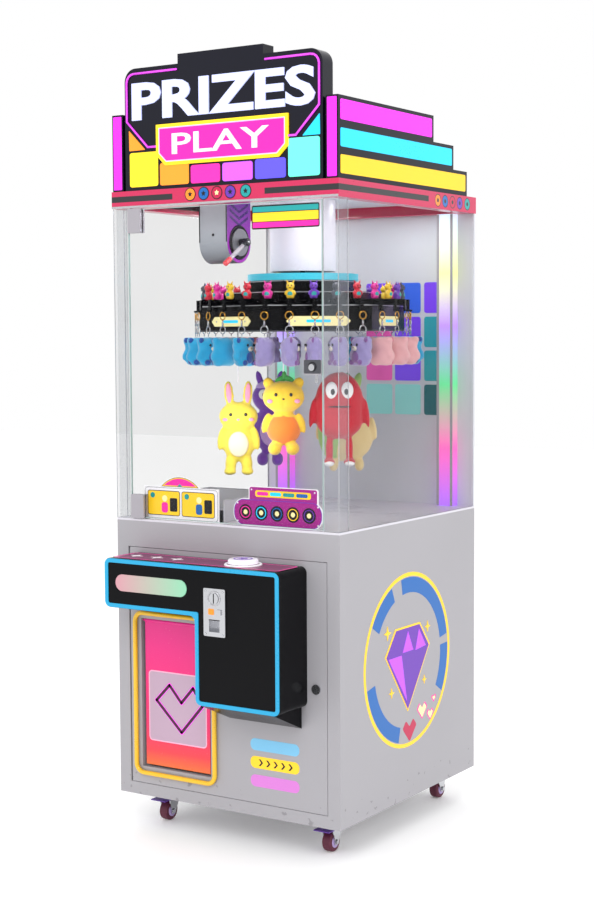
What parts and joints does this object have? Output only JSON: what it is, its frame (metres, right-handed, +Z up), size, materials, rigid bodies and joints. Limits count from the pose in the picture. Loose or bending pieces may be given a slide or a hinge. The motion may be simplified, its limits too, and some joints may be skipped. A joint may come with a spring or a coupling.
{
  "type": "prize carousel machine",
  "caption": "Free-standing prize machine on casters with a lit sign, a glazed cabin, a turning drum of hanging plush and a swinging striker.",
  "frame": {"origin": "floor, under the middle of the cabinet", "axes": "+Z up, front towards -Y, right side towards +X"},
  "size_m": [0.746, 0.916, 2.163],
  "materials": {
    "cabinet_paint": "satin grey powder coat",
    "gloss_black": "gloss",
    "acrylic": "clear polished",
    "white_board": "satin",
    "crimson_paint": "satin",
    "sign_box": "gloss",
    "led_diffuser": "frosted, lit",
    "cyan_light": "frosted, lit",
    "yellow_tube": "gloss",
    "flap_acrylic": "gloss",
    "button_white": "gloss",
    "zinc": "brushed",
    "steel": "satin",
    "supply_case": "satin",
    "tread": "matt",
    "pedal_paint": "satin",
    "peg_black": "satin",
    "striker_paint": "satin",
    "striker_tip": "gloss",
    "motor_case": "satin",
    "plush_blue": "short pile",
    "plush_yellow": "short pile",
    "plush_red": "short pile",
    "plush_green": "short pile",
    "plush_violet": "short pile"
  },
  "bodies": {
    "cabinet": {"base_side_panels": "cabinet_paint", "base_floor": "cabinet_paint", "base_back": "cabinet_paint", "front_frame": "cabinet_paint", "deck_panel": "white_board", "prize_chute": "steel", "cash_box": "steel", "power_supply": "supply_case", "control_box": "peg_black", "corner_guards": "acrylic", "side_glass": "acrylic", "led_columns": "led_diffuser", "back_wall": "white_board", "header_frame": "crimson_paint", "roof_panel": "white_board", "marquee_box": "sign_box", "side_light_boxes": "sign_box", "sign_boards": "white_board", "carousel_column": "white_board", "carousel_motor": "motor_case", "striker_housing": "striker_paint", "striker_motor": "motor_case", "caster_plates": "steel"},
    "service_door": {"service_door_panel": "cabinet_paint", "console_shell": "gloss_black", "console_trim": "cyan_light", "light_bar": "led_diffuser", "coin_acceptor": "zinc", "prize_frame": "yellow_tube"},
    "service_lock": {"service_lock": "zinc"},
    "prize_flap": {"prize_flap": "flap_acrylic"},
    "play_button": {"play_button": "button_white"},
    "coin_return": {"coin_return": "zinc"},
    "glass_door": {"glass_pane": "acrylic", "glass_fittings": "steel"},
    "glass_lock": {"glass_lock": "zinc"},
    "carousel": {"drum_shell": "gloss_black", "drum_base": "supply_case", "drum_light_ring": "cyan_light", "hook_levers": "peg_black", "key_rings": "zinc", "small_plush": "plush_blue", "plush_square": "plush_yellow", "plush_bear": "plush_yellow", "plush_red": "plush_red", "plush_green": "plush_green", "plush_purple": "plush_violet"},
    "front_hook": {"front_hook": "peg_black"},
    "striker_arm": {"striker_arm": "striker_tip"},
    "fork_front_left": {"fork_front_left": "steel"},
    "wheel_front_left": {"wheel_front_left": "tread"},
    "fork_front_right": {"fork_front_right": "steel"},
    "wheel_front_right": {"wheel_front_right": "tread"},
    "fork_rear_left": {"fork_rear_left": "steel"},
    "wheel_rear_left": {"wheel_rear_left": "tread"},
    "fork_rear_right": {"fork_rear_right": "steel"},
    "wheel_rear_right": {"wheel_rear_right": "tread"},
    "pedal_front_left": {"pedal_front_left": "pedal_paint"},
    "pedal_front_right": {"pedal_front_right": "pedal_paint"}
  },
  "joints": [
    {"name": "service_door_swing", "type": "hinge", "parent": "cabinet", "child": "service_door", "pos_m": [-0.322, -0.3795, 0.468], "axis": [0, 0, -1], "range_deg": [0, 95]},
    {"name": "service_lock_turn", "type": "hinge", "parent": "service_door", "child": "service_lock", "pos_m": [0.297, -0.3875, 0.466], "axis": [0, -1, 0], "range_deg": [0, 90]},
    {"name": "prize_flap_swing", "type": "hinge", "parent": "service_door", "child": "prize_flap", "pos_m": [-0.17, -0.3775, 0.598], "axis": [1, 0, 0], "range_deg": [0, 40]},
    {"name": "play_button_press", "type": "slide", "parent": "service_door", "child": "play_button", "axis": [0, 0, -1], "range_m": [0, 0.005], "stiffness_N_per_m": 800, "springref_m": -0.003},
    {"name": "coin_return_press", "type": "slide", "parent": "service_door", "child": "coin_return", "axis": [0, 1, 0], "range_m": [0, 0.003], "stiffness_N_per_m": 400, "springref_m": -0.002},
    {"name": "glass_door_swing", "type": "hinge", "parent": "cabinet", "child": "glass_door", "pos_m": [-0.31, -0.383, 1.32], "axis": [0, 0, -1], "range_deg": [0, 100]},
    {"name": "glass_lock_turn", "type": "hinge", "parent": "glass_door", "child": "glass_lock", "pos_m": [0.292, -0.3875, 1.316], "axis": [0, -1, 0], "range_deg": [0, 90]},
    {"name": "carousel_spin", "type": "hinge", "parent": "cabinet", "child": "carousel", "pos_m": [0.006, 0.01, 1.5], "axis": [0, 0, 1], "continuous": true},
    {"name": "front_hook_tip", "type": "hinge", "parent": "carousel", "child": "front_hook", "pos_m": [0.006, -0.233, 1.4923], "axis": [-1, 0, 0], "range_deg": [0, 25]},
    {"name": "striker_swing", "type": "hinge", "parent": "cabinet", "child": "striker_arm", "pos_m": [-0.03, -0.232, 1.658], "axis": [1, 0, 0], "range_deg": [-30, 22]},
    {"name": "swivel_front_left", "type": "hinge", "parent": "cabinet", "child": "fork_front_left", "pos_m": [-0.277, -0.2605, 0.08], "axis": [0, 0, 1], "continuous": true},
    {"name": "roll_front_left", "type": "hinge", "parent": "fork_front_left", "child": "wheel_front_left", "pos_m": [-0.277, -0.2855, 0.028], "axis": [1, 0, 0], "continuous": true},
    {"name": "pedal_front_left_press", "type": "hinge", "parent": "fork_front_left", "child": "pedal_front_left", "pos_m": [-0.277, -0.2975, 0.066], "axis": [1, 0, 0], "range_deg": [-15, 0]},
    {"name": "swivel_front_right", "type": "hinge", "parent": "cabinet", "child": "fork_front_right", "pos_m": [0.277, -0.2605, 0.08], "axis": [0, 0, 1], "continuous": true},
    {"name": "roll_front_right", "type": "hinge", "parent": "fork_front_right", "child": "wheel_front_right", "pos_m": [0.277, -0.2855, 0.028], "axis": [1, 0, 0], "continuous": true},
    {"name": "pedal_front_right_press", "type": "hinge", "parent": "fork_front_right", "child": "pedal_front_right", "pos_m": [0.277, -0.2975, 0.066], "axis": [1, 0, 0], "range_deg": [-15, 0]},
    {"name": "swivel_rear_left", "type": "hinge", "parent": "cabinet", "child": "fork_rear_left", "pos_m": [-0.277, 0.3025, 0.08], "axis": [0, 0, 1], "continuous": true},
    {"name": "roll_rear_left", "type": "hinge", "parent": "fork_rear_left", "child": "wheel_rear_left", "pos_m": [-0.277, 0.3275, 0.028], "axis": [1, 0, 0], "continuous": true},
    {"name": "swivel_rear_right", "type": "hinge", "parent": "cabinet", "child": "fork_rear_right", "pos_m": [0.277, 0.3025, 0.08], "axis": [0, 0, 1], "continuous": true},
    {"name": "roll_rear_right", "type": "hinge", "parent": "fork_rear_right", "child": "wheel_rear_right", "pos_m": [0.277, 0.3275, 0.028], "axis": [1, 0, 0], "continuous": true}
  ]
}
